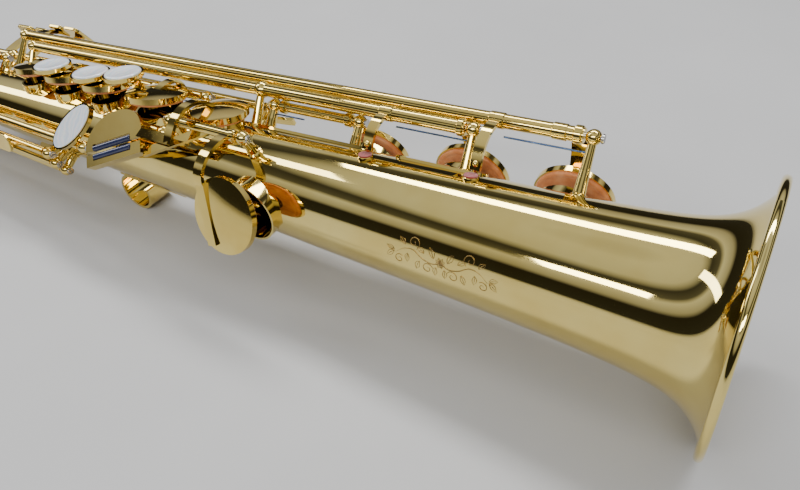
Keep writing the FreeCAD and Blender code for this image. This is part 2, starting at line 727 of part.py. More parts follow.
def octave_lever():
    x, phi = OCTAVE_HINGE
    rises = [(x + 3.0, OCTAVE_OFF + 0.2), (x - 9.0, 7.6), (THUMB_TOUCH_X, 8.4),
             (-526.0, 8.8), (-551.0, 8.6)]
    parts = [cross_tube(x, phi, OCTAVE_OFF), spine(phi, rises, 4.0),
             plate(THUMB_TOUCH_X + 3.0, phi, 8.8, 15.0, 13.0, 5.5),
             hoop(THUMB_TOUCH_X, [(phi, 8.6), (197.0, 9.2), (LOWER_HINGE[1], 10.2)], 4.0)]
    return join(parts).cut(cross_bore(x, phi, OCTAVE_OFF))


def upper_octave_key():
    x, phi = UPPER_HINGE
    rises = [(-546.0, 6.4), (-565.0, 6.2), (x, OCTAVE_OFF), (-608.0, 7.0), (-628.0, 5.8)]
    parts = [cross_tube(x, phi, OCTAVE_OFF), spine(phi, rises, 4.0), vent_cup("upper")]
    return join(parts).cut(cross_bore(x, phi, OCTAVE_OFF))


def lower_octave_key():
    x, phi = LOWER_HINGE
    rises = [(-502.0, 7.6), (x, OCTAVE_OFF + 0.4), (-527.0, 7.0), (-536.0, 5.8)]
    parts = [cross_tube(x, phi, OCTAVE_OFF), spine(phi, rises, 3.6), vent_cup("lower")]
    return join(parts).cut(cross_bore(x, phi, OCTAVE_OFF))


# ---- side keys, on the player's right -------------------------------------------------------------
def side_span(name):
    line, last, _ = SIDES[name]
    return HOLES[name][0] - 9.0, last


def side_key(name):
    x, phi, _ = HOLES[name]
    line, _, touch = SIDES[name]
    first, last = side_span(name)
    h_phi, h_off = LINES[line]
    top = crown(name)
    parts = [hinge_tube(line, first + END_GAP, last - END_GAP), cup(name),
             hoop(x, [(h_phi, h_off), (0.5 * (h_phi + phi), top + 2.2), (phi, top)], 4.0),
             hoop(touch, [(h_phi, h_off), (h_phi - 4.0, 14.6),
                          (SIDE_TOUCH_PHI, SIDE_TOUCH_OFF)], 6.0),
             plate(touch, SIDE_TOUCH_PHI, SIDE_TOUCH_OFF, 23.0, 9.0, 3.0)]
    return join(parts).cut(hinge_bore(line, first - 2, last + 2))


def high_f_sharp_key():
    x, phi, _ = HOLES["high_f_sharp"]
    h_phi, h_off = LINES["high_f_sharp"]
    t_x, t_phi, t_off = FSHARP_TOUCH
    top = crown("high_f_sharp")
    parts = [hinge_tube("high_f_sharp", -587.0 + END_GAP, -276.0 - END_GAP),
             cup("high_f_sharp"),
             hoop(x, [(h_phi, h_off), (90, top + 1.6), (phi, top)], 4.0),
             hoop(-283.5, [(h_phi, h_off), (66, 9.2), (58, 10.2)], 5.0),
             oval(t_x, t_phi, t_off, 29.4, 13.4, 2.0, FSHARP_TURN)]
    key = join(parts).cut(oval(t_x, t_phi, t_off + 1.0, 27.6, 11.6, 2.0, FSHARP_TURN))
    return key.cut(hinge_bore("high_f_sharp", -592, -272))


def high_f_sharp_pearl():
    t_x, t_phi, t_off = FSHARP_TOUCH
    return oval(t_x, t_phi, t_off + 1.0, 27.5, 11.5, 1.3, FSHARP_TURN)


# ---- fixed groups ---------------------------------------------------------------------------------
POSTS = {
    "long_key_posts": [(-61.0, "b_flat"), (-368.0, "b_flat"), (-103.0, "b"), (-355.0, "b"),
                       (-196.0, "c_sharp"), (-153.0, "c_sharp"),
                       (-205.0, "levers"), (-386.0, "levers"), (-410.0, "levers"),
                       (-379.0, "g_sharp"), (-353.0, "g_sharp"),
                       (-226.0, "low_c"), (-186.0, "low_c"),
                       (-265.0, "e_flat"), (-230.0, "e_flat"),
                       (-276.0, "high_f_sharp"), (-587.0, "high_f_sharp")]
    + [(x, SIDES[name][0]) for name in SIDES for x in side_span(name)],
    "stack_posts": [(x, "lower_stack") for x in LOWER_POSTS]
    + [(x, "upper_stack") for x in UPPER_POSTS],
}
SADDLES = [(PALMS[name][0], HOLES[name][1], LEVER_OFF) for name in PALMS]
SADDLES += [OCTAVE_HINGE + (OCTAVE_OFF,), UPPER_HINGE + (OCTAVE_OFF,),
            LOWER_HINGE + (OCTAVE_OFF,)]


def hinge_rods():
    spans = {}
    for rows in POSTS.values():
        for x, line in rows:
            low, high = spans.get(line, (x, x))
            spans[line] = (min(low, x), max(high, x))
    return [rod(line, low - 2.4, high + 2.4) for line, (low, high) in spans.items()]


def thumb_hook():
    """Strip curled into a ring for the thumb, on a flat base."""
    start = cone(HOOK_X)
    middle = start + HOOK_RADIUS + 0.2
    outside = Part.makeCylinder(HOOK_RADIUS, HOOK_WIDTH,
                                Vector(HOOK_X, -HOOK_WIDTH / 2, -middle), Vector(0, 1, 0))
    inside = Part.makeCylinder(HOOK_RADIUS - HOOK_SKIN, HOOK_WIDTH,
                               Vector(HOOK_X, -HOOK_WIDTH / 2, -middle), Vector(0, 1, 0))
    mouth = Part.makeBox(HOOK_RADIUS + 1, HOOK_WIDTH, 5.0,
                         Vector(HOOK_X + 1, -HOOK_WIDTH / 2, -middle + 3.0))
    curl = outside.cut(inside).cut(mouth)
    base = put(Part.makeBox(44.0, HOOK_WIDTH, 5.2, Vector(-22, -HOOK_WIDTH / 2, -4.0)),
               HOOK_X + 15.0, 180.0, 0.0)
    return join([curl, base]).cut(BLANK)


def strap_ring():
    """Ring for the neck strap's hook, on a small foot."""
    start = cone(RING_X)
    drop = ring_drop()
    centre = Vector(RING_X, -RING_WIDTH / 2, -drop)
    disc = Part.makeCylinder(RING_RADIUS, RING_WIDTH, centre, Vector(0, 1, 0))
    stem = Part.makeBox(5.0, RING_WIDTH, drop - start + 2.0,
                        Vector(RING_X - 2.5, -RING_WIDTH / 2, -drop))
    foot = put(Part.makeBox(16.0, 9.0, 4.2, Vector(-8, -4.5, -3.0)), RING_X, 180.0, 0.0)
    hole = Part.makeCylinder(RING_HOLE, RING_WIDTH, centre, Vector(0, 1, 0))
    return join([disc, stem, foot]).cut(hole).cut(BLANK)


def thumb_rest():
    x = -464.0
    button = Part.makeCylinder(6.5, 3.4, Vector(0, 0, 1.2))
    button = button.makeFillet(1.2, [button.Edges[0]])
    foot = Part.makeBox(20.0, 8.0, 4.2, Vector(-10, -4, -3.0))
    return put(join([button, foot]), x, 180.0, 0.0).cut(BLANK)


def post_ribs():
    rows = (("lower_stack", -352.0, -228.0), ("upper_stack", -500.0, -376.0),
            ("c_sharp", -206.0, -148.0), ("b", -128.0, -98.0))
    return [rib(LINES[line][0], start, end, RIB_WIDTH) for line, start, end in rows]


def key_felts():
    """Bumpers on the tube under the stop arms."""
    felts = []
    for x, phi, height in ((-97.0, -14.0, 1.3), (-140.0, -8.0, 1.3)):
        felts.append(put(Part.makeCylinder(2.6, height + 2.0, Vector(0, 0, -2.0)), x, phi, 0.0))
    return [felt.cut(BLANK) for felt in felts]


def needle_springs():
    """Blued steel needles, each fixed in a post and lying along its key."""
    springs = []
    for x, line, way, length, drop in ((-61.0, "b_flat", -1, 32.0, 5.6),
                                       (-103.0, "b", -1, 32.0, 4.4),
                                       (-196.0, "c_sharp", 1, 16.0, 3.6)):
        phi, off = LINES[line]
        needle = Part.makeCylinder(0.35, length, Vector(0, 0, 0), Vector(way, 0, 0))
        springs.append(put(needle, x, phi, off - drop).cut(post(x, line)))
    return springs


# ---- neck end ------------------------------------------------------------------------------------
def neck_cork():
    cork = Part.makeCylinder(CORK_RADIUS, CORK_LENGTH, Vector(NECK_END, 0, 0),
                             Vector(1, 0, 0))
    return cork.cut(HORN)


def mouthpiece():
    """Hard rubber mouthpiece: shank, barrel, beak and the flat table under the reed."""
    shank = MOUTHPIECE_TIP + MOUTHPIECE_LENGTH
    profile = [Vector(shank, 0, 0), Vector(shank, 0, 10.2), Vector(shank - 5, 0, 10.6),
               Vector(shank - 16, 0, 10.0), Vector(MOUTHPIECE_TIP + 34, 0, 9.6),
               Vector(MOUTHPIECE_TIP, 0, 8.2), Vector(MOUTHPIECE_TIP, 0, 0)]
    body = revolve(profile, Vector(1, 0, 0))
    socket = Part.makeCylinder(CORK_RADIUS + 0.01, 26.0, Vector(shank - 24, 0, 0),
                               Vector(1, 0, 0))
    throat = Part.makeCylinder(5.0, 60.0, Vector(MOUTHPIECE_TIP + 12, 0, 0), Vector(1, 0, 0))
    table = Part.makeBox(52.0, 30, 10, Vector(MOUTHPIECE_TIP - 1, -15, -TABLE_DEPTH - 10))
    window = Part.makeBox(26.0, 8.4, 10, Vector(MOUTHPIECE_TIP + 2.0, -4.2, -TABLE_DEPTH - 1))
    beak = Part.makeBox(60, 30, 20, Vector(-60, -15, 0))
    beak.Placement = Placement(Vector(MOUTHPIECE_TIP + 33, 0, 9.8),
                               Rotation(Vector(0, 1, 0), -BEAK_ANGLE))
    return body.cut(socket).cut(throat).cut(table).cut(window).cut(beak)


def reed():
    """Cane reed, thick at the butt and thin at the tip, flat side on the table."""
    top = -TABLE_DEPTH - 0.02
    side = [Vector(MOUTHPIECE_TIP + 0.5, -5.6, top), Vector(MOUTHPIECE_TIP + 0.5, -5.6, top - 0.15),
            Vector(MOUTHPIECE_TIP + 26, -5.6, top - REED_THICK),
            Vector(MOUTHPIECE_TIP + REED_LENGTH, -5.6, top - REED_THICK),
            Vector(MOUTHPIECE_TIP + REED_LENGTH, -5.6, top)]
    return Part.Face(Part.makePolygon(side + [side[0]])).extrude(Vector(0, 11.2, 0))


def ligature():
    """Split band that clamps the reed, with two screw lugs under it."""
    start = MOUTHPIECE_TIP + 30.0
    band = Part.makeCylinder(11.4, 20.0, Vector(start, 0, 0), Vector(1, 0, 0))
    band = band.cut(Part.makeCylinder(10.6, 20.0, Vector(start, 0, 0), Vector(1, 0, 0)))
    slot = Part.makeBox(20.0, 3.0, 20, Vector(start, -1.5, -20))
    lugs = []
    for side in (-1, 1):
        lugs.append(Part.makeBox(20.0, 1.8, 5.6, Vector(start, side * 2.4 - 0.9, -16.2)))
    drills = [Part.makeCylinder(1.22, 12, Vector(x, -6, -13.7), Vector(0, 1, 0))
              for x in LIGATURE_SCREWS]
    return join([band.cut(slot)] + lugs).cut(Part.makeCompound(drills))


def ligature_screws():
    screws = []
    for x in LIGATURE_SCREWS:
        shaft = Part.makeCylinder(1.2, 8.0, Vector(x, -4.0, -13.7), Vector(0, 1, 0))
        head = Part.makeCylinder(2.6, 5.0, Vector(x, 4.0, -13.7), Vector(0, 1, 0))
        screws.append(join([shaft, head]))
    return screws


# ---- rest pose -------------------------------------------------------------------------------------
def hook_depth():
    return cone(HOOK_X) + 2 * HOOK_RADIUS + 0.2


LEAN = math.degrees(math.atan2(BELL_RADIUS - hook_depth(), -HOOK_X - BEAD_RADIUS))


def ring_drop():
    """Depth of the strap ring's centre that lets it just reach the resting plane."""
    plane = BELL_RADIUS + math.tan(math.radians(LEAN)) * (RING_X + BEAD_RADIUS)
    return plane - RING_RADIUS - 0.05


def turned(shape, line, angle):
    phi, off = LINES[line]
    shape = shape.copy()
    shape.rotate(spot(-200.0, phi, off), along(phi), angle)
    return shape


def rest_placement(pieces):
    """Leans the instrument on to its supports and centres its box over the origin."""
    lean = Placement(Vector(0, 0, 0), Rotation(Vector(0, 1, 0), -LEAN))
    box = FreeCAD.BoundBox()
    for piece in pieces:
        leaned = piece.copy()
        leaned.Placement = lean.multiply(piece.Placement)
        box.add(leaned.optimalBoundingBox(True, False))
    shift = Vector(-box.Center.x, -box.Center.y, -box.ZMin)
    return Placement(shift, lean.Rotation)


def build():
    nodes = {
        "body_tube": body_tube(),
        "bell": bell(),
        "bell_rim_ring": bell_rim_ring(),
        "post_ribs": post_ribs(),
        "thumb_hook": thumb_hook(),
        "strap_ring": strap_ring(),
        "thumb_rest": thumb_rest(),
        "key_felts": key_felts(),
        "hinge_rods": hinge_rods() + [cross_pin(*row) for row in SADDLES],
        "needle_springs": needle_springs(),
        "neck_cork": neck_cork(),
        "mouthpiece": mouthpiece(),
        "reed": reed(),
        "ligature": ligature(),
        "ligature_screws": ligature_screws(),
    }
    ribs = Part.makeCompound(nodes["post_ribs"])
    nodes["lever_saddles"] = [saddle(*row).cut(ribs) for row in SADDLES]
    for name, rows in POSTS.items():
        nodes[name] = [post(x, line).cut(ribs) for x, line in rows]
    nodes["long_key_posts"].append(guide_post(*GUIDE).cut(ribs))

    for name, line, make in (("low_b_flat", "b_flat", low_b_flat_key),
                             ("low_b", "b", low_b_key),
                             ("low_c_sharp", "c_sharp", low_c_sharp_key),
                             ("low_c", "low_c", low_c_key)):
        nodes[name + "_key"] = turned(make(), line, OPEN[name])
        nodes[name + "_pad"] = turned(pad(name), line, OPEN[name])
    for name in ("d", "e", "f", "f_sharp"):
        key = stack_key(name, "lower_stack", SEATS.get(name))
        nodes[name + "_key"] = turned(key, "lower_stack", OPEN_LOWER_STACK)
        nodes[name + "_pad"] = turned(pad(name), "lower_stack", OPEN_LOWER_STACK)
        if name in SEATS:
            disc = pearl(SEATS[name], SEAT_PHI, seat_off(name))
            nodes[name + "_pearl"] = turned(disc, "lower_stack", OPEN_LOWER_STACK)
    for name in ("g", "bis", "a", "b", "c"):
        key = stack_key(name, "upper_stack", SEATS.get(name))
        nodes[name + "_key"] = turned(key, "upper_stack", OPEN_UPPER_STACK)

    nodes["c_sharp_lever"] = c_sharp_lever()
    nodes["e_flat_key"] = e_flat_key()
    nodes["e_flat_pad"] = pad("e_flat")
    nodes["e_flat_roller"] = roller(E_FLAT_ROLLER)
    nodes["low_c_roller"] = roller(LOW_C_ROLLER)
    nodes["g_sharp_lever"] = g_sharp_lever()
    nodes["g_sharp_key"] = g_sharp_key()
    for name in PALMS:
        nodes[name + "_key"] = palm_key(name)
    for name in SIDES:
        nodes[name + "_key"] = side_key(name)
    nodes["high_f_sharp_key"] = high_f_sharp_key()
    nodes["high_f_sharp_pearl"] = high_f_sharp_pearl()
    nodes["octave_lever"] = octave_lever()
    nodes["upper_octave_key"] = upper_octave_key()
    nodes["lower_octave_key"] = lower_octave_key()
    return nodes


def main():
    os.makedirs("parts", exist_ok=True)
    nodes = {}
    for name, made in build().items():
        nodes[name] = Part.makeCompound(made) if isinstance(made, list) else made
    rest = rest_placement(nodes.values())
    for name, shape in nodes.items():
        shape.Placement = rest.multiply(shape.Placement)
        shape.exportStep(os.path.join("parts", name + ".step"))
    return nodes, rest


NODES, REST = main()
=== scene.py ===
import bpy
import bmesh
import json
import math
from mathutils import Matrix, Vector


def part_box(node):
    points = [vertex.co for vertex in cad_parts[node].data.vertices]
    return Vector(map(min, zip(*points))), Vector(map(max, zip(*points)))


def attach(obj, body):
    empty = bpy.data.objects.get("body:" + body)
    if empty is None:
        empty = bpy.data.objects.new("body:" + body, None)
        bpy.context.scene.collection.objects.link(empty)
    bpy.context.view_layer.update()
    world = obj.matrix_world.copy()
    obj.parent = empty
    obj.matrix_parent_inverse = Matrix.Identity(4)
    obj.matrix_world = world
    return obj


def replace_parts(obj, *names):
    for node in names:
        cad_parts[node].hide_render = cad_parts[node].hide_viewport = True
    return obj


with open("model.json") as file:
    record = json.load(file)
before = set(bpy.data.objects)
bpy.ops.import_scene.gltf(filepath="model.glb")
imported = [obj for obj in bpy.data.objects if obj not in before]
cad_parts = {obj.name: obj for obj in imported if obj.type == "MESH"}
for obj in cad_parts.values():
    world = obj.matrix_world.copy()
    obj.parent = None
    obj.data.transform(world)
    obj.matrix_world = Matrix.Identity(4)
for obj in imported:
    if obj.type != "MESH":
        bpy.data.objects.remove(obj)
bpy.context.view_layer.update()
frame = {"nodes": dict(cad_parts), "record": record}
NODES = frame["nodes"]

# ---- the instrument's own frame (millimetres) --------------------------------------------------
# X runs along the bore from the bell's rim (0) to the neck (negative); phi turns round the bore
# from the front of the instrument, positive towards the player's right hand.
MM = 0.001
LEAN = -1.75911
CONE_RADIUS = 26.16
CONE_SLOPE = 0.0304
BELL_RADIUS = 46.0
BELL_JOIN = -44.0
LIP = 1.0
WALL = 0.8
CHIMNEY_RISE = 2.8
PAD_GAP = 0.08
PAD_DEPTH = 3.0
CUP_LIFT = 1.4
CUP_SIDE = 2.5
CUP_DOME = 1.1
CUP_SKIN = 0.65
POST_BALL = 2.9
PEARL_RADIUS = 8.0
PEARL_OFF = 8.8
PEARL_FLOOR = 1.22
PEARL_SHOULDER = 2.15
PEARL_EDGE = 0.75
PEARL_DISH = 0.42
ROOF_FIT = 0.03
TUBE_RADIUS = 2.0
WIDE_TUBE_RADIUS = 2.6
WIDE_LINES = ("b_flat", "b")
SCREW_RADIUS = 1.75
SCREW_THICK = 0.8
SCREW_SLOT = 0.28
FELT_RADIUS = 2.62
HOLDER_RADIUS = 3.25
HOLDER_TOP = 0.95
STUD_RADIUS = 1.0
STUD_NECK = 0.7
STUD_BALL = 1.25
SPRING_DROP = 3.3
# middle of the engraved panel and the size of its pattern
SCROLL_X = -95.0
SCROLL_PHI = 76.0
SCROLL_SIZE = 0.55
CUT_WIDTH = 0.7
CUT_LIFT = 0.012
CUT_THICK = 0.05
HORN = "horn"

HOLES = {
    # key: (x, phi, hole radius)
    "low_b_flat": (-69.0, -90.0, 12.6),
    "low_b": (-110.5, -90.0, 12.6),
    "low_c_sharp": (-151.0, -80.0, 9.6),
    "low_c": (-182.0, 90.0, 12.2),
    "e_flat": (-213.0, -8.0, 9.0),
    "d": (-247.0, 0.0, 9.8),
    "e": (-280.5, 0.0, 7.9),
    "f": (-308.0, 0.0, 7.4),
    "f_sharp": (-334.0, 0.0, 6.6),
    "g_sharp": (-366.0, -84.0, 5.4),
    "g": (-392.0, 0.0, 6.2),
    "bis": (-418.0, 0.0, 5.2),
    "a": (-442.0, 0.0, 5.0),
    "b": (-464.0, 0.0, 4.4),
    "c": (-486.0, 0.0, 3.8),
    "palm_d": (-508.0, -75.0, 3.8),
    "palm_e_flat": (-525.0, -112.0, 3.6),
    "palm_f": (-560.0, -60.0, 3.4),
    "side_b_flat": (-430.0, 158.0, 4.0),
    "side_c": (-456.0, 146.0, 3.8),
    "high_e": (-543.0, 138.0, 3.4),
    "high_f_sharp": (-578.0, 106.0, 3.2),
}
LINES = {
    # hinge line: (phi, height above the cone)
    "b_flat": (-40.0, 20.8),
    "b": (-34.0, 15.5),
    "c_sharp": (-40.0, 10.3),
    "levers": (-58.0, 11.0),
    "low_c": (24.0, 9.5),
    "e_flat": (34.0, 5.6),
    "lower_stack": (-36.0, 7.5),
    "upper_stack": (-40.0, 7.0),
    "g_sharp": (-118.0, 6.2),
    "side_1": (96.0, 8.5),
    "side_2": (111.0, 8.5),
    "side_3": (126.0, 8.5),
    "high_f_sharp": (72.0, 7.5),
}
LINE_ENDS = {
    "b_flat": (-368.0, -61.0),
    "b": (-355.0, -103.0),
    "c_sharp": (-196.0, -153.0),
    "levers": (-410.0, -205.0),
    "low_c": (-226.0, -186.0),
    "e_flat": (-265.0, -230.0),
    "lower_stack": (-347.0, -232.5),
    "upper_stack": (-496.5, -379.5),
    "g_sharp": (-379.0, -353.0),
    "side_1": (-552.0, -306.0),
    "side_2": (-465.0, -306.0),
    "side_3": (-439.0, -306.0),
    "high_f_sharp": (-587.0, -276.0),
}
# key: (hinge line, degrees that it stands open at rest)
STANDING = {"low_b_flat": ("b_flat", 14.0), "low_b": ("b", 11.0),
            "low_c_sharp": ("c_sharp", 8.0), "low_c": ("low_c", -20.0)}
STANDING.update({key: ("lower_stack", -13.0) for key in ("d", "e", "f", "f_sharp")})
STANDING.update({key: ("upper_stack", -11.0) for key in ("g", "bis", "a", "b", "c")})
# where the finger pearls sit along the tube
SEATS = {"d": -261.7, "e": -285.0, "f": -313.0, "g": -396.5, "a": -442.0, "b": -464.0}
SEAT_PHI = 8.0
SEAT_LIFT = {"d": 3.2}
# stop arm of a key: (x, phi of its felt, phi of its adjusting stud, height of the stud)
STOPS = {"low_b_flat": (-97.0, -14.0, -15.0, 6.9), "low_b": (-140.0, -8.0, -9.0, 5.9)}
# spring posts under the two stacks: (x of the posts, length of the needles)
SPRINGS = {"lower": ((-232.5, -264.0, -294.5, -321.5), 17.0),
           "upper": ((-379.5, -405.5, -430.5, -453.5, -475.5), 14.0)}
# collars on the hinge tubes: (hinge line, x, radius, length, key that carries it)
COLLARS = (("b_flat", -66.8, 3.4, 3.0, "low_b_flat"), ("b_flat", -73.4, 3.05, 5.5, "low_b_flat"),
           ("b_flat", -97.0, 3.05, 6.0, "low_b_flat"), ("b", -108.2, 3.3, 2.6, "low_b"),
           ("b", -140.0, 3.05, 6.0, "low_b"), ("c_sharp", -158.4, 2.9, 2.6, "low_c_sharp"),
           ("c_sharp", -191.2, 2.9, 2.6, "low_c_sharp"), ("low_c", -191.0, 2.7, 2.2, "low_c"),
           ("low_c", -221.4, 2.7, 2.2, "low_c"))

# ---- camera (metres, degrees) ------------------------------------------------------------------
CAMERA_AT = (0.35359, -0.17765, 0.21110)
CAMERA_TURN = (49.024, 3.125, 30.575)
CAMERA_LENS = 31.5
SENSOR = 36.0

low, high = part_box("bell_rim_ring")
REST = (Matrix.Translation((low + high) / 2) @ Matrix.Rotation(math.radians(LEAN), 4, "Y")
        @ Matrix.Translation(Vector((1.5 * MM, 0, 0))))


def cone(x):
    return CONE_RADIUS + CONE_SLOPE * x


def outer(x):
    near = 0.7407 * math.exp(x / 6.53)
    far = 0.2593 * math.exp(x / 26.85)
    return cone(x) + (BELL_RADIUS - CONE_RADIUS) * (near + far)


def ring(radius, phi):
    angle = math.radians(phi)
    return Vector((0, -radius * math.sin(angle), radius * math.cos(angle)))


def spot(x, phi, off):
    return Vector((x, 0, 0)) + ring(cone(x) + off, phi)


def along(phi):
    return (Vector((1, 0, 0)) + ring(CONE_SLOPE, phi)).normalized()


def out(phi):
    return (ring(1.0, phi) - Vector((CONE_SLOPE, 0, 0))).normalized()


def station(x, phi, off):
    """Local frame in mm: X down the surface, Y towards the player's left, Z outwards."""
    ahead, up = along(phi), out(phi)
    side = up.cross(ahead)
    turn = Matrix((ahead, side, up)).transposed().to_4x4()
    return Matrix.Translation(spot(x, phi, off)) @ turn


def standing(key):
    """Turn that carries a shut key to where it stands at rest."""
    if key not in STANDING:
        return Matrix.Identity(4)
    line, angle = STANDING[key]
    phi, off = LINES[line]
    point = spot(-200.0, phi, off)
    turn = Matrix.Rotation(math.radians(angle), 4, along(phi))
    return Matrix.Translation(point) @ turn @ Matrix.Translation(-point)


def cup_radius(key):
    hole = HOLES[key][2]
    return hole + (3.2 if hole > 7 else 2.2)


# ---- materials ---------------------------------------------------------------------------------
def new_material(name):
    material = bpy.data.materials.new(name)
    material.use_nodes = True
    tree = material.node_tree
    shader = tree.nodes["Principled BSDF"]
    return material, tree, shader


def place(tree):
    """Object-space coordinates, the same in every view."""
    return tree.nodes.new("ShaderNodeTexCoord").outputs["Object"]


def noise(tree, scale, detail=4.0, rough=0.55, stretch=None):
    node = tree.nodes.new("ShaderNodeTexNoise")
    node.inputs["Scale"].default_value = scale
    node.inputs["Detail"].default_value = detail
    node.inputs["Roughness"].default_value = rough
    source = place(tree)
    if stretch:
        mapping = tree.nodes.new("ShaderNodeMapping")
        mapping.inputs["Scale"].default_value = stretch
        tree.links.new(source, mapping.inputs["Vector"])
        source = mapping.outputs["Vector"]
    tree.links.new(source, node.inputs["Vector"])
    return node.outputs["Fac"]


def ramp(tree, value, stops):
    node = tree.nodes.new("ShaderNodeValToRGB")
    band = node.color_ramp
    while len(band.elements) < len(stops):
        band.elements.new(0.5)
    for element, (where, colour) in zip(band.elements, stops):
        element.position = where
        element.color = colour if len(colour) == 4 else (*colour, 1.0)
    tree.links.new(value, node.inputs["Fac"])
    return node.outputs["Color"]


def spread(tree, value, lowest, highest):
    node = tree.nodes.new("ShaderNodeMapRange")
    node.inputs["To Min"].default_value = lowest
    node.inputs["To Max"].default_value = highest
    tree.links.new(value, node.inputs["Value"])
    return node.outputs["Result"]


def bump(tree, shader, value, strength, distance, previous=None):
    node = tree.nodes.new("ShaderNodeBump")
    node.inputs["Strength"].default_value = strength
    node.inputs["Distance"].default_value = distance
    tree.links.new(value, node.inputs["Height"])
    if previous is not None:
        tree.links.new(previous, node.inputs["Normal"])
    tree.links.new(node.outputs["Normal"], shader.inputs["Normal"])
    return node.outputs["Normal"]


def grey(level):
    return (level, level, level)


def brass(name, light, deep, rough, coat, wear=0.5):
    """Lacquered brass: tone drift, handling haze, fine wiping scratches, a clear coat."""
    material, tree, shader = new_material(name)
    drift = noise(tree, 38.0, 3.0)
    tree.links.new(ramp(tree, drift, [(0.32, deep), (0.66, light)]), shader.inputs["Base Color"])
    haze = noise(tree, 90.0, 5.0, 0.65)
    tree.links.new(spread(tree, haze, rough * 0.7, rough * 1.45), shader.inputs["Roughness"])
    shader.inputs["Metallic"].default_value = 1.0
    shader.inputs["Coat Weight"].default_value = coat
    shader.inputs["Coat Roughness"].default_value = 0.04
    shader.inputs["Coat IOR"].default_value = 1.5
    wave = noise(tree, 60.0, 2.0)
    first = bump(tree, shader, wave, 0.12 * wear, 0.0004)
    scratch = noise(tree, 900.0, 2.0, 0.5, (0.12, 1.0, 1.0))
    bump(tree, shader, scratch, 0.05 * wear, 0.00004, first)
    return material


def leather():
    """Tan pad leather: soft blotches, fine grain, a little sheen."""
    material, tree, shader = new_material("pad_leather_tan")
    blotch = noise(tree, 160.0, 5.0, 0.6)
    tree.links.new(ramp(tree, blotch, [(0.3, (0.56, 0.17, 0.055)), (0.5, (0.74, 0.27, 0.10)),
                                       (0.72, (0.86, 0.40, 0.19))]), shader.inputs["Base Color"])
    tree.links.new(spread(tree, noise(tree, 420.0), 0.38, 0.6), shader.inputs["Roughness"])
    shader.inputs["Sheen Weight"].default_value = 0.2
    cells = tree.nodes.new("ShaderNodeTexVoronoi")
    cells.inputs["Scale"].default_value = 1900.0
    tree.links.new(place(tree), cells.inputs["Vector"])
    first = bump(tree, shader, cells.outputs["Distance"], 0.18, 0.00008)
    bump(tree, shader, noise(tree, 260.0, 4.0), 0.3, 0.00025, first)
    return material


def nacre():
    """Mother-of-pearl: milky bands that turn faintly blue and pink under a clear gloss."""
    material, tree, shader = new_material("pearl_nacre")
    wave = tree.nodes.new("ShaderNodeTexWave")
    wave.inputs["Scale"].default_value = 55.0
    wave.inputs["Distortion"].default_value = 9.0
    wave.inputs["Detail"].default_value = 3.0
    wave.inputs["Detail Scale"].default_value = 1.4
    tree.links.new(place(tree), wave.inputs["Vector"])
    tree.links.new(ramp(tree, wave.outputs["Fac"],
                        [(0.0, (0.74, 0.82, 0.92)), (0.35, (0.90, 0.93, 0.96)),
                         (0.65, (0.96, 0.93, 0.94)), (1.0, (0.80, 0.88, 0.93))]),
                   shader.inputs["Base Color"])
    tree.links.new(spread(tree, noise(tree, 200.0), 0.10, 0.22), shader.inputs["Roughness"])
    shader.inputs["Coat Weight"].default_value = 0.8
    shader.inputs["Coat Roughness"].default_value = 0.03
    shader.inputs["Subsurface Weight"].default_value = 0.15
    shader.inputs["Subsurface Scale"].default_value = 0.001
    bump(tree, shader, noise(tree, 70.0, 2.0), 0.08, 0.0003)
    return material


def resin(name, base, rough, grain=500.0):
    material, tree, shader = new_material(name)
    tint = noise(tree, 120.0, 3.0)
    lift = tuple(min(1.0, channel * 1.6 + 0.004) for channel in base)
    tree.links.new(ramp(tree, tint, [(0.35, base), (0.75, lift)]), shader.inputs["Base Color"])
    tree.links.new(spread(tree, noise(tree, 240.0), rough * 0.7, rough * 1.5),
                   shader.inputs["Roughness"])
    shader.inputs["Coat Weight"].default_value = 0.35
    shader.inputs["Coat Roughness"].default_value = 0.06
    bump(tree, shader, noise(tree, grain, 2.0), 0.06, 0.00005)
    return material


def steel(name, base, rough):
    material, tree, shader = new_material(name)
    tint = noise(tree, 180.0, 3.0)
    dark = tuple(channel * 0.72 for channel in base)
    tree.links.new(ramp(tree, tint, [(0.3, dark), (0.7, base)]), shader.inputs["Base Color"])
    tree.links.new(spread(tree, noise(tree, 700.0, 3.0, 0.5, (0.1, 1.0, 1.0)),
                          rough * 0.7, rough * 1.5), shader.inputs["Roughness"])
    shader.inputs["Metallic"].default_value = 1.0
    bump(tree, shader, noise(tree, 1500.0, 2.0, 0.5, (0.05, 1.0, 1.0)), 0.1, 0.00003)
    return material


def felt(name, base):
    """Pressed felt: matted fibres and a woolly edge to the light."""
    material, tree, shader = new_material(name)
    fibre = noise(tree, 2600.0, 6.0, 0.75)
    dark = tuple(channel * 0.5 for channel in base)
    tree.links.new(ramp(tree, fibre, [(0.35, dark), (0.65, base)]), shader.inputs["Base Color"])
    shader.inputs["Roughness"].default_value = 0.95
    shader.inputs["Sheen Weight"].default_value = 0.6
    bump(tree, shader, fibre, 0.7, 0.0002)
    return material


def cork():
    """Cork: pale ground with dark pores."""
    material, tree, shader = new_material("natural_cork")
    cells = tree.nodes.new("ShaderNodeTexVoronoi")
    cells.inputs["Scale"].default_value = 700.0
    tree.links.new(place(tree), cells.inputs["Vector"])
    tree.links.new(ramp(tree, cells.outputs["Distance"],
                        [(0.0, (0.20, 0.10, 0.05)), (0.12, (0.55, 0.34, 0.17)),
                         (0.6, (0.70, 0.47, 0.26))]), shader.inputs["Base Color"])
    tree.links.new(spread(tree, noise(tree, 300.0), 0.7, 0.92), shader.inputs["Roughness"])
    bump(tree, shader, cells.outputs["Distance"], 0.5, 0.0003)
    return material


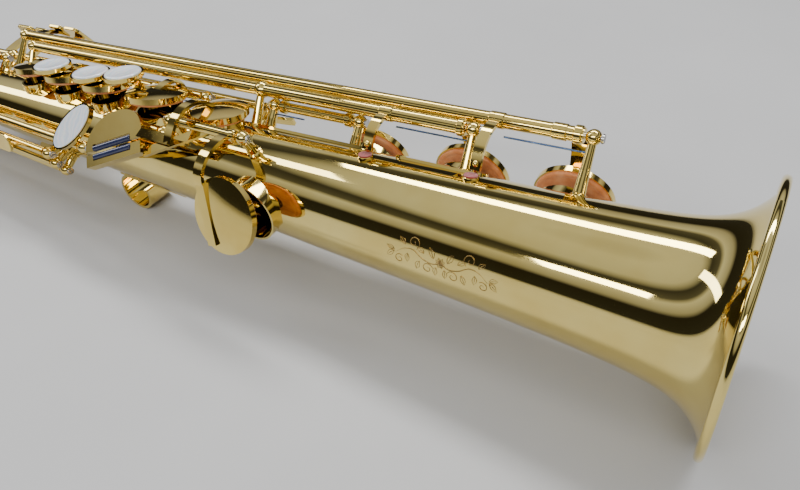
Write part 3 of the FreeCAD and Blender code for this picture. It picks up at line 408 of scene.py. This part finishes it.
def cane():
    """Cane: straw-coloured with long fibres down the reed."""
    material, tree, shader = new_material("reed_cane")
    fibre = noise(tree, 900.0, 4.0, 0.6, (0.03, 1.0, 1.0))
    tree.links.new(ramp(tree, fibre, [(0.3, (0.62, 0.43, 0.17)), (0.55, (0.80, 0.62, 0.31)),
                                      (0.75, (0.88, 0.74, 0.44))]), shader.inputs["Base Color"])
    tree.links.new(spread(tree, noise(tree, 300.0), 0.4, 0.6), shader.inputs["Roughness"])
    bump(tree, shader, fibre, 0.3, 0.0001)
    return material


BRASS = brass("lacquered_brass_body", (0.86, 0.70, 0.24), (0.78, 0.60, 0.17), 0.045, 0.25, 0.35)
KEYS = brass("lacquered_brass_keys", (0.87, 0.68, 0.20), (0.76, 0.54, 0.12), 0.06, 0.3, 0.7)
CUT = brass("engraved_brass", (0.50, 0.34, 0.12), (0.32, 0.20, 0.06), 0.34, 0.1, 1.5)
CLAMP = brass("ligature_brass", (0.85, 0.66, 0.18), (0.74, 0.54, 0.12), 0.12, 0.3, 0.8)
LEATHER = leather()
NACRE = nacre()
ROLLER = resin("roller_resin", (0.012, 0.017, 0.055), 0.14)
RUBBER = resin("hard_rubber_black", (0.012, 0.012, 0.013), 0.17, 300.0)
BROWN = resin("resonator_brown", (0.10, 0.045, 0.02), 0.22)
STEEL = steel("pivot_steel_ground", (0.66, 0.65, 0.62), 0.24)
BLUED = steel("spring_steel_blued", (0.12, 0.20, 0.42), 0.26)
RED_FELT = felt("felt_red", (0.40, 0.03, 0.03))
CORK = cork()
CANE = cane()

SLOT_MATERIAL = {
    "lacquered_brass": BRASS, "key_brass": KEYS, "pad_leather": LEATHER, "pearl": NACRE,
    "roller": ROLLER, "pivot_steel": STEEL, "blued_steel": BLUED, "felt": RED_FELT,
    "cork": CORK, "hard_rubber": RUBBER, "cane": CANE, "ligature_metal": CLAMP,
}


def dress(thing, material):
    thing.data.materials.clear()
    thing.data.materials.append(material)


for row in frame["record"]["subparts"]:
    node = NODES[row["node"]]
    dress(node, SLOT_MATERIAL[row["material_slot"]])
    node.data.shade_smooth()
    node.data.set_sharp_from_angle(angle=math.radians(32))


# ---- mesh helpers ------------------------------------------------------------------------------
def add(name, mesh, material, body, matrix=Matrix.Identity(4), sharp=35):
    """Puts a mesh built in instrument millimetres into the row's frame."""
    mesh.transform(Matrix.Scale(MM, 4) @ matrix)
    mesh.transform(REST)
    mesh.update()
    thing = bpy.data.objects.new(name, mesh)
    bpy.context.scene.collection.objects.link(thing)
    mesh.materials.append(material)
    mesh.shade_smooth()
    if sharp:
        mesh.set_sharp_from_angle(angle=math.radians(sharp))
    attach(thing, body)
    return thing


def to_mesh(name, maker):
    work = bmesh.new()
    maker(work)
    bmesh.ops.remove_doubles(work, verts=work.verts, dist=1e-5)
    bmesh.ops.recalc_face_normals(work, faces=work.faces)
    mesh = bpy.data.meshes.new(name)
    work.to_mesh(mesh)
    work.free()
    return mesh


def lathe(profile, count=64, axis="Z"):
    """Maker of a turned solid from (radius, height) points; ends on the axis close it."""
    def make(work):
        rows = []
        for radius, height in profile:
            if radius < 1e-6:
                rows.append([work.verts.new((0, 0, height))])
                continue
            row = []
            for i in range(count):
                angle = 2 * math.pi * i / count
                row.append(work.verts.new((radius * math.cos(angle),
                                           radius * math.sin(angle), height)))
            rows.append(row)
        for first, second in zip(rows, rows[1:]):
            for i in range(count):
                j = (i + 1) % count
                quad = [first[i % len(first)], first[j % len(first)],
                        second[j % len(second)], second[i % len(second)]]
                unique = []
                for vertex in quad:
                    if vertex not in unique:
                        unique.append(vertex)
                if len(unique) > 2:
                    work.faces.new(unique)
        if axis == "X":
            bmesh.ops.transform(work, matrix=Matrix.Rotation(math.pi / 2, 4, "Y"),
                                verts=work.verts)
    return make


def strip(points, widths, normals, thick):
    """Maker of a closed flat band that follows points, width and normal given at each."""
    def make(work):
        rows = []
        for i, (point, width, normal) in enumerate(zip(points, widths, normals)):
            ahead = points[min(i + 1, len(points) - 1)] - points[max(i - 1, 0)]
            side = normal.cross(ahead).normalized() * (width / 2)
            up = normal * (thick / 2)
            rows.append([work.verts.new(point + corner) for corner in
                         (side + up, -side + up, -side - up, side - up)])
        for first, second in zip(rows, rows[1:]):
            for i in range(4):
                j = (i + 1) % 4
                work.faces.new((first[i], first[j], second[j], second[i]))
        work.faces.new(rows[0])
        work.faces.new(rows[-1][::-1])
    return make


def smooth_through(points, steps):
    """Catmull-Rom samples through points."""
    padded = [points[0]] + list(points) + [points[-1]]
    found = []
    for a, b, c, d in zip(padded, padded[1:], padded[2:], padded[3:]):
        for i in range(steps):
            t = i / steps
            found.append(0.5 * ((2 * b) + (c - a) * t + (2 * a - 5 * b + 4 * c - d) * t * t
                                + (3 * b - a - 3 * c + d) * t ** 3))
    found.append(points[-1])
    return found


# ---- bell and tube -----------------------------------------------------------------------------
def bell_shell():
    steps = 72
    xs = [BELL_JOIN + (-LIP - BELL_JOIN) * math.sin(math.pi / 2 * i / steps)
          for i in range(steps + 1)]
    profile = [(outer(x), x) for x in xs] + [(outer(x) - WALL, x) for x in reversed(xs)]
    profile.append(profile[0])
    mesh = to_mesh("bell_shell", lathe(profile, 256, "X"))
    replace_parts(add("bell_shell", mesh, BRASS, HORN), "bell")


def tube_skin():
    """Copy of the drawn tube with true cone normals, so that highlights run unbroken."""
    mesh = NODES["body_tube"].data.copy()
    mesh.name = "tube_skin"
    thing = bpy.data.objects.new("tube_skin", mesh)
    bpy.context.scene.collection.objects.link(thing)
    back = REST.inverted()
    turn = REST.to_3x3()
    inward = back.to_3x3()
    normals = [Vector(n.vector) for n in mesh.corner_normals]
    for polygon in mesh.polygons:
        face = inward @ polygon.normal
        places = [(back @ mesh.vertices[v].co) / MM for v in polygon.vertices]
        for sign, inset in ((1, 0.0), (-1, WALL)):
            ideal = []
            for point in places:
                radius = math.hypot(point.y, point.z)
                slope = (outer(point.x + 0.5) - outer(point.x - 0.5))
                if abs(radius - outer(point.x) + inset) > 0.05:
                    break
                ideal.append(Vector((-slope, point.y / radius, point.z / radius)).normalized())
            if len(ideal) == len(places) and face.dot(ideal[0]) * sign > 0.9:
                for loop, normal in zip(polygon.loop_indices, ideal):
                    normals[loop] = (turn @ normal) * sign
    mesh.normals_split_custom_set(normals)
    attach(thing, HORN)
    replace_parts(thing, "body_tube")


def roof_skin(key):
    """Copy of a key with true sphere normals on its cup's roof, so that reflections run clean."""
    mesh = NODES[key + "_key"].data.copy()
    mesh.name = "roof_skin_" + key
    thing = bpy.data.objects.new(mesh.name, mesh)
    bpy.context.scene.collection.objects.link(thing)
    x, phi, _ = HOLES[key]
    radius = cup_radius(key)
    dome = CUP_DOME if radius > 9 else 0.7 * CUP_DOME
    sphere = (radius * radius + dome * dome) / (2 * dome)
    middle = Vector((0, 0, CUP_LIFT + CUP_SIDE + dome - sphere))
    seat = REST @ Matrix.Scale(MM, 4) @ standing(key) @ station(x, phi, CHIMNEY_RISE)
    back = seat.inverted()
    turn = seat.to_3x3().normalized()
    normals = [Vector(n.vector) for n in mesh.corner_normals]
    for polygon in mesh.polygons:
        rays = [back @ mesh.vertices[v].co - middle for v in polygon.vertices]
        if any(abs(ray.length - sphere) > ROOF_FIT for ray in rays):
            continue
        ideal = [(turn @ ray).normalized() for ray in rays]
        if polygon.normal.dot(ideal[0]) > 0.9:
            for loop, normal in zip(polygon.loop_indices, ideal):
                normals[loop] = normal
    mesh.normals_split_custom_set(normals)
    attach(thing, key + "_key")
    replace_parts(thing, key + "_key")


bell_shell()
tube_skin()
for key in HOLES:
    roof_skin(key)


# ---- engraving: a plain leaf scroll cut into the tube above the bell ---------------------------
def surface(x, phi, lift):
    radius = outer(x) + lift
    return Vector((x, 0, 0)) + ring(radius, phi)


def stroke(points, width):
    """One tapering graver's cut; points are (mm along, mm round) from the middle of the panel."""
    dense = smooth_through([Vector((a, b, 0)) for a, b in points], 8)
    places = []
    normals = []
    widths = []
    for i, flat in enumerate(dense):
        x = SCROLL_X + SCROLL_SIZE * flat.x
        phi = SCROLL_PHI + math.degrees(SCROLL_SIZE * flat.y / outer(x))
        places.append(surface(x, phi, CUT_LIFT))
        normals.append(ring(1.0, phi))
        part = i / (len(dense) - 1)
        swell = math.sin(math.pi * min(1.0, 0.12 + part)) ** 0.7
        widths.append(CUT_WIDTH * width * (0.18 + 0.82 * swell))
    return strip(places, widths, normals, CUT_THICK)


def spiral(x, y, start, turns, first, last, steps=14):
    points = []
    for i in range(steps + 1):
        t = i / steps
        angle = math.radians(start) + turns * 2 * math.pi * t
        radius = first + (last - first) * t
        points.append((x + radius * math.cos(angle), y + radius * math.sin(angle)))
    return points


def leaf(x, y, angle, length, bend):
    """Two edges and a midrib of one leaf."""
    lines = []
    for side in (-1, 0, 1):
        line = []
        for i in range(6):
            t = i / 5
            along_leaf = length * t
            width = side * length * 0.24 * math.sin(math.pi * t) + bend * t * t
            a = math.radians(angle)
            line.append((x + along_leaf * math.cos(a) - width * math.sin(a),
                         y + along_leaf * math.sin(a) + width * math.cos(a)))
        lines.append(line)
    return lines


def engraving():
    strokes = []
    for sign in (-1, 1):
        stem = [(0, 0), (sign * 6, 2.5), (sign * 13, 1.0), (sign * 20, -3.0), (sign * 27, -2.0),
                (sign * 33, 2.5)]
        strokes.append((stem, 0.55))
        for x, y, start, first in ((9, 7.0, 200, 4.2), (20, -8.0, 120, 4.6), (30, 6.5, 230, 3.6)):
            curl = spiral(sign * x, y, start if sign > 0 else 180 - start, sign * 1.35, first, 0.6)
            strokes.append((curl, 0.42))
        for x, y, angle, length in ((5, -1.5, -70, 7.5), (12, -3.0, -40, 6.0), (15, 3.5, 60, 7.0),
                                    (24, 0.5, 80, 6.5), (26, -5.0, -55, 6.0), (34, 2.0, 30, 7.0),
                                    (34, 1.0, -30, 6.0), (3, 4.0, 75, 6.5)):
            facing = angle if sign > 0 else 180 - angle
            for line in leaf(sign * x, y, facing, length, sign * 1.2):
                strokes.append((line, 0.28))
    for petal in range(8):
        for line in leaf(0, 0, petal * 45 + 22, 3.8, 0.0):
            strokes.append((line, 0.26))
    joined = bmesh.new()
    for points, width in strokes:
        piece = to_mesh("cut", stroke(points, width))
        joined.from_mesh(piece)
        bpy.data.meshes.remove(piece)
    mesh = bpy.data.meshes.new("scroll_engraving")
    joined.to_mesh(mesh)
    joined.free()
    add("scroll_engraving", mesh, CUT, HORN, sharp=0)


engraving()


# ---- pads and pearls ---------------------------------------------------------------------------
def pad(key):
    """Leather pad with the ring pressed by the tone hole, and its resonator."""
    x, phi, hole = HOLES[key]
    body = key + "_key"
    radius = cup_radius(key) - CUP_SKIN - 0.05
    face = PAD_GAP
    top = PAD_GAP + PAD_DEPTH
    profile = [(0, top), (radius - 0.3, top), (radius, top - 0.3), (radius, face + 1.0),
               (radius - 0.25, face + 0.35), (radius - 0.8, face + 0.06),
               (hole + 1.1, face), (hole + 0.75, face + 0.12), (hole + 0.35, face + 0.16),
               (hole - 0.1, face + 0.08), (hole - 0.7, face), (0, face)]
    matrix = standing(key) @ station(x, phi, CHIMNEY_RISE)
    thing = add("pad_" + key, to_mesh("pad", lathe(profile, 72)), LEATHER, body,
                matrix, 50)
    node = key + "_pad"
    if node in NODES:
        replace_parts(thing, node)
    disc = 0.52 * hole
    dome = [(0, face - 0.05 - 0.09 * disc)]
    for i in range(1, 7):
        r = disc * i / 6
        dome.append((r, face - 0.05 - 0.09 * disc * math.cos(math.pi / 2 * i / 6)))
    dome += [(disc, face + 0.15), (0, face + 0.15)]
    add("resonator_" + key, to_mesh("resonator", lathe(dome, 48)), BROWN, body,
        matrix, 40)


def pearl(key, seat):
    """Dished finger pearl, lying in its holder."""
    radius = PEARL_RADIUS - 0.05
    profile = [(0, PEARL_FLOOR), (radius, PEARL_FLOOR), (radius, PEARL_SHOULDER)]
    for i in range(7):
        angle = math.pi / 2 * i / 6
        profile.append((radius - PEARL_EDGE + PEARL_EDGE * math.cos(angle),
                        PEARL_SHOULDER + PEARL_EDGE * math.sin(angle)))
    for part in (0.8, 0.6, 0.4, 0.2, 0.0):
        dish = PEARL_DISH * (1 - part * part)
        profile.append(((radius - 0.9) * part, PEARL_SHOULDER + PEARL_EDGE - dish))
    matrix = standing(key) @ station(seat, SEAT_PHI, PEARL_OFF + SEAT_LIFT.get(key, 0.0))
    thing = add("pearl_" + key, to_mesh("pearl", lathe(profile, 72)), NACRE, key + "_key",
                matrix, 40)
    if key + "_pearl" in NODES:
        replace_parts(thing, key + "_pearl")


for key in HOLES:
    pad(key)
for key, seat in SEATS.items():
    pearl(key, seat)


# ---- slotted screws in the ends of the hinge posts ---------------------------------------------
def screw_head(radius, thick, slot):
    """Slotted head, its face towards +Z."""
    def make(work):
        count = 40
        deep = 0.45 * thick
        for sign in (-1, 1):
            start = math.asin(slot / radius)
            arc = [start + (math.pi - 2 * start) * i / count for i in range(count + 1)]
            lows = []
            highs = []
            for angle in arc:
                x, y = radius * math.cos(angle), sign * radius * math.sin(angle)
                lows.append(work.verts.new((x, y, thick - deep)))
                highs.append(work.verts.new((x * 0.93, max(abs(y) * 0.93, slot) * sign, thick)))
            for i in range(count):
                work.faces.new((lows[i], lows[i + 1], highs[i + 1], highs[i]))
            work.faces.new((lows[0], highs[0], highs[-1], lows[-1]))
            work.faces.new(highs)
            work.faces.new(lows)
        base = lathe([(0, 0), (radius, 0), (radius, thick - deep), (0, thick - deep)], 48)
        base(work)
    return make


for index, (line, (first, last)) in enumerate(LINE_ENDS.items()):
    phi, off = LINES[line]
    for end, x, flip in (("up", first, -1), ("down", last, 1)):
        spin = Matrix.Rotation(math.radians(37 * index + 20 * flip), 4, "Z")
        face = Matrix.Translation(Vector((flip * (POST_BALL - 0.55), 0, 0)))
        turn = Matrix.Rotation(flip * math.pi / 2, 4, "Y")
        name = "pivot_screw_" + line + "_" + end
        matrix = station(x, phi, off) @ face @ turn @ spin
        add(name, to_mesh("screw", screw_head(SCREW_RADIUS, SCREW_THICK, SCREW_SLOT)), STEEL,
            HORN, matrix, 30)


# ---- collars and sleeves on the hinge tubes ----------------------------------------------------
def collar(name, line, x, radius, length, key):
    phi, off = LINES[line]
    half = length / 2
    soft = min(0.35, half * 0.6)
    inner = WIDE_TUBE_RADIUS if line in WIDE_LINES else TUBE_RADIUS
    profile = [(inner, -half), (radius - soft, -half), (radius, -half + soft),
               (radius, half - soft), (radius - soft, half), (inner, half), (inner, -half)]
    matrix = standing(key) @ station(x, phi, off)
    add(name, to_mesh("collar", lathe(profile, 40, "X")), KEYS, key + "_key",
        matrix, 40)


for number, (line, x, radius, length, key) in enumerate(COLLARS):
    collar("tube_collar_%d" % number, line, x, radius, length, key)


# ---- springs under the stacks, studs and felt holders of the stop arms -------------------------
def needle(name, line, x, length):
    """Blued spring that runs from a post towards the neck, under the hinge tube."""
    phi, off = LINES[line]
    profile = [(0, 0), (0.34, 0), (0.30, -0.6 * length), (0.12, -length), (0, -length)]
    matrix = station(x, phi, off - SPRING_DROP)
    add(name, to_mesh("needle", lathe(profile, 12, "X")), BLUED, HORN, matrix, 30)


for stack, (places, length) in SPRINGS.items():
    for number, x in enumerate(places):
        needle("%s_needle_%d" % (stack, number), stack + "_stack", x - 1.5, length)


def stud(name, key, x, phi, off):
    """Turned adjusting stud with a round head."""
    profile = [(0, -1.2), (STUD_RADIUS, -1.2), (STUD_RADIUS, 0.3), (STUD_NECK, 0.6),
               (STUD_NECK, 1.0)]
    start = -math.pi / 3.2
    for i in range(9):
        angle = start + (math.pi / 2 - start) * i / 8
        profile.append((STUD_BALL * math.cos(angle), 2.0 + STUD_BALL * math.sin(angle)))
    matrix = standing(key) @ station(x, phi, off)
    add(name, to_mesh("stud", lathe(profile, 28)), KEYS, key + "_key", matrix, 40)


def felt_holder(name, x, phi):
    """Brass ring soldered to the tube round a felt."""
    edge = 0.2
    profile = [(FELT_RADIUS, -edge), (HOLDER_RADIUS, -edge), (HOLDER_RADIUS, HOLDER_TOP - edge),
               (HOLDER_RADIUS - edge, HOLDER_TOP), (FELT_RADIUS, HOLDER_TOP),
               (FELT_RADIUS, -edge)]
    matrix = station(x, phi, 0.0)
    add(name, to_mesh("holder", lathe(profile, 48)), KEYS, HORN, matrix, 40)


for key, (x, felt_phi, stud_phi, stud_off) in STOPS.items():
    stud(key + "_stud", key, x, stud_phi, stud_off)
for key, (x, felt_phi, stud_phi, stud_off) in STOPS.items():
    felt_holder(key + "_felt_holder", x, felt_phi)


# ---- camera, light and floor -------------------------------------------------------------------
def area(name, place_at, aim, size, power, tint=(1.0, 1.0, 1.0)):
    light = bpy.data.lights.new(name, "AREA")
    light.shape = "RECTANGLE"
    light.size, light.size_y = size
    light.energy = power
    light.color = tint
    thing = bpy.data.objects.new(name, light)
    bpy.context.scene.collection.objects.link(thing)
    place_at, aim = Vector(place_at), Vector(aim)
    thing.location = place_at
    thing.rotation_euler = (aim - place_at).to_track_quat("-Z", "Y").to_euler()


def studio():
    world = bpy.data.worlds.new("studio")
    bpy.context.scene.world = world
    world.use_nodes = True
    tree = world.node_tree
    backdrop = tree.nodes["Background"]
    where = tree.nodes.new("ShaderNodeTexCoord")
    split = tree.nodes.new("ShaderNodeSeparateXYZ")
    tree.links.new(where.outputs["Generated"], split.inputs["Vector"])
    sky = ramp(tree, split.outputs["Z"],
               [(0.0, grey(0.04)), (0.27, (0.030, 0.028, 0.026)), (0.35, (0.50, 0.50, 0.52)),
                (0.50, (0.84, 0.85, 0.88)), (0.57, (0.12, 0.12, 0.12)), (0.68, (0.06, 0.06, 0.06)),
                (0.78, (0.80, 0.81, 0.84)), (0.92, (0.92, 0.93, 0.96)), (1.0, (0.45, 0.45, 0.46))])
    tree.links.new(sky, backdrop.inputs["Color"])
    backdrop.inputs["Strength"].default_value = 0.75
    area("key_softbox", (0.1, 0.55, 1.1), (0.1, 0.0, 0.03), (1.5, 0.22), 15.0)
    area("front_softbox", (0.3, -0.9, 0.8), (0.1, 0.0, 0.03), (1.0, 0.16), 7.0)
    area("left_strip", (-0.9, -0.1, 0.8), (0.0, 0.0, 0.03), (0.25, 0.9), 5.0)

    material, tree, shader = new_material("pale_floor")
    tree.links.new(ramp(tree, noise(tree, 6.0, 3.0), [(0.3, grey(0.50)), (0.7, grey(0.54))]),
                   shader.inputs["Base Color"])
    tree.links.new(spread(tree, noise(tree, 80.0), 0.55, 0.7), shader.inputs["Roughness"])
    bump(tree, shader, noise(tree, 900.0, 3.0), 0.05, 0.0002)
    work = bmesh.new()
    bmesh.ops.create_grid(work, x_segments=8, y_segments=8, size=3.0)
    mesh = bpy.data.meshes.new("floor")
    work.to_mesh(mesh)
    work.free()
    floor = bpy.data.objects.new("floor", mesh)
    bpy.context.scene.collection.objects.link(floor)
    floor.location.z = -0.0002
    mesh.materials.append(material)


def camera():
    lens = bpy.data.cameras.new("camera")
    lens.lens = CAMERA_LENS
    lens.sensor_width = SENSOR
    lens.clip_start = 0.01
    thing = bpy.data.objects.new("camera", lens)
    bpy.context.scene.collection.objects.link(thing)
    thing.location = CAMERA_AT
    thing.rotation_euler = [math.radians(angle) for angle in CAMERA_TURN]
    bpy.context.scene.camera = thing


studio()
camera()
